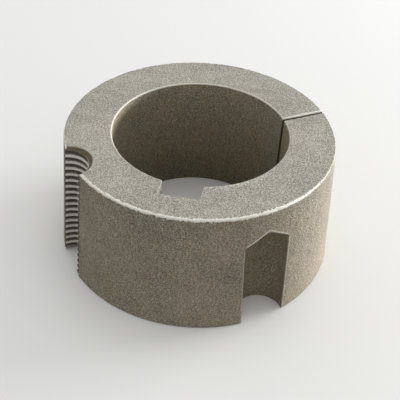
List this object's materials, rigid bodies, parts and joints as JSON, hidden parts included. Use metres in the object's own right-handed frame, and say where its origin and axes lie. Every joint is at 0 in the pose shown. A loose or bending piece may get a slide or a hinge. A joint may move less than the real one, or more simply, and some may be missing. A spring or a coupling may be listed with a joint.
{
  "type": "taper bush",
  "caption": "Split cast-iron taper bush with a keyed bore, plain half-holes for the clamping screws and a threaded half-hole for the jacking screw.",
  "frame": {"origin": "centre of the large-end face, on the bore's axis", "axes": "+Z along the bore towards the small end, -Y through the middle of the keyway"},
  "size_m": [0.0698, 0.0698, 0.0318],
  "materials": {
    "cast_iron": "machined grey iron with a dull brownish phosphate coat, bright where the rims and edges are rubbed"
  },
  "bodies": {
    "root": {"taper_bush": "cast_iron"}
  },
  "joints": []
}
